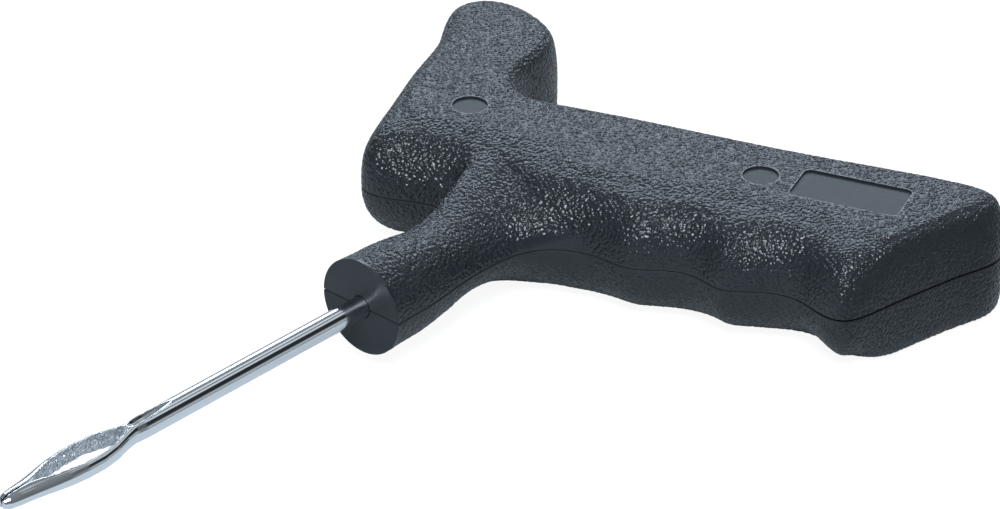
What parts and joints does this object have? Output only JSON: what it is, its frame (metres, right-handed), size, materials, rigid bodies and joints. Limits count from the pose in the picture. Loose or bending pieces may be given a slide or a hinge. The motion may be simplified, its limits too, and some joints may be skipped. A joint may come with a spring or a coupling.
{
  "type": "tyre plug insertion tool",
  "caption": "Pistol-grip hand tool with a split-eye steel needle that pushes rubber plug strings into a tyre puncture.",
  "frame": {"origin": "centre of the neck's front face, on the needle's axis and in the plane where the two shells meet", "axes": "+X along the needle to its tip, +Y along the grip towards the butt, +Z square to the parting plane, away from the side with the screw wells"},
  "size_m": [0.215, 0.1525, 0.0284],
  "materials": {
    "handle_plastic": "leather grain, satin",
    "plated_steel": "bright plated",
    "pin_steel": "oiled",
    "screw_steel": "zinc plated"
  },
  "bodies": {
    "root": {"upper_shell": "handle_plastic", "lower_shell": "handle_plastic", "needle": "plated_steel", "anchor_pin": "pin_steel", "shell_screws": "screw_steel"}
  },
  "joints": []
}
